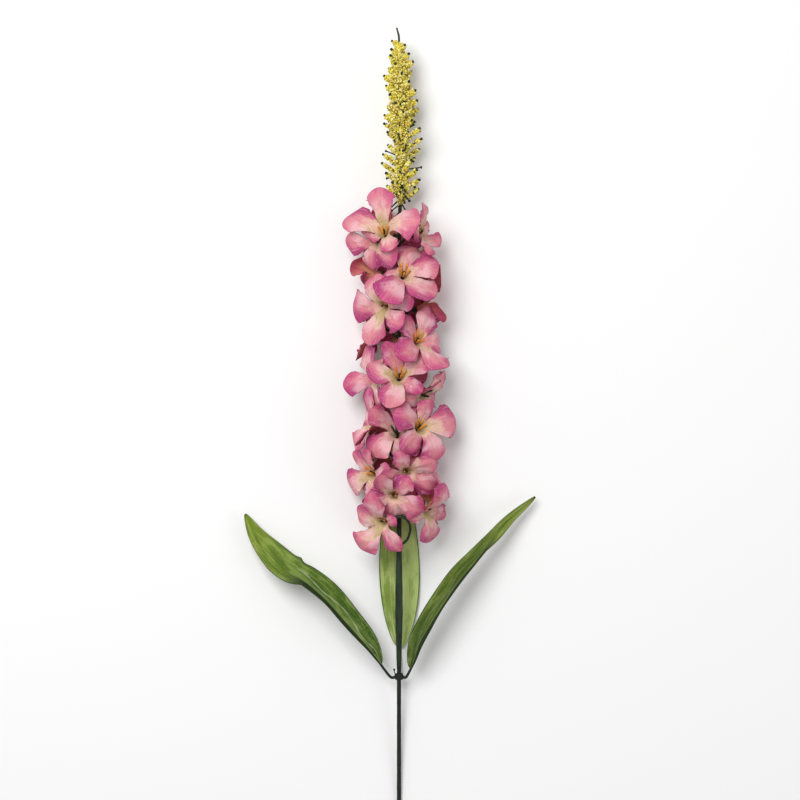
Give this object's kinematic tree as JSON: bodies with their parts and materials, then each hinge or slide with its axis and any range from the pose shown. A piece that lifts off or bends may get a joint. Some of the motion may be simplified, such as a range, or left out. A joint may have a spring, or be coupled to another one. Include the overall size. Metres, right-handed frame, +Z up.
{
  "type": "artificial delphinium stem",
  "caption": "Artificial delphinium spray lying on its side: coated wire stem, leaf collar, spike of cloth florets and a crumb-coated bud tip, for vases and displays.",
  "frame": {"origin": "centre of the bounding box on the surface that the stem lies on", "axes": "+Z up, +Y along the stem from its cut end to its tip, +X to the right as the flower head is seen from above"},
  "size_m": [0.2788, 0.7622, 0.0789],
  "materials": {
    "wire_steel": "drawn steel wire, cut square",
    "stem_plastic": "moulded dark green plastic with a satin sheen",
    "leaf_cloth": "printed leaf cloth with pressed ribs",
    "petal_cloth": "woven petal cloth, cream at the throat to magenta-pink at the rim",
    "bud_crumb": "coarse yellow foam crumbs"
  },
  "bodies": {
    "root": {"wire_core": "wire_steel", "stem_coat": "stem_plastic", "flower_spike": "stem_plastic", "leaf_collar": "stem_plastic", "bud_crumbs": "bud_crumb", "leaf_left": "leaf_cloth", "leaf_right": "leaf_cloth", "leaf_back": "leaf_cloth", "corolla_01": "petal_cloth", "corolla_02": "petal_cloth", "corolla_03": "petal_cloth", "corolla_04": "petal_cloth", "corolla_05": "petal_cloth", "corolla_06": "petal_cloth", "corolla_07": "petal_cloth", "corolla_08": "petal_cloth", "corolla_09": "petal_cloth", "corolla_10": "petal_cloth", "corolla_11": "petal_cloth", "corolla_12": "petal_cloth", "corolla_13": "petal_cloth", "corolla_14": "petal_cloth", "corolla_15": "petal_cloth", "corolla_16": "petal_cloth", "corolla_17": "petal_cloth", "corolla_18": "petal_cloth", "corolla_19": "petal_cloth", "corolla_20": "petal_cloth", "corolla_21": "petal_cloth", "corolla_22": "petal_cloth", "corolla_23": "petal_cloth", "corolla_24": "petal_cloth", "corolla_25": "petal_cloth", "corolla_26": "petal_cloth", "corolla_27": "petal_cloth", "corolla_28": "petal_cloth", "corolla_29": "petal_cloth", "corolla_30": "petal_cloth", "corolla_31": "petal_cloth"}
  },
  "joints": []
}
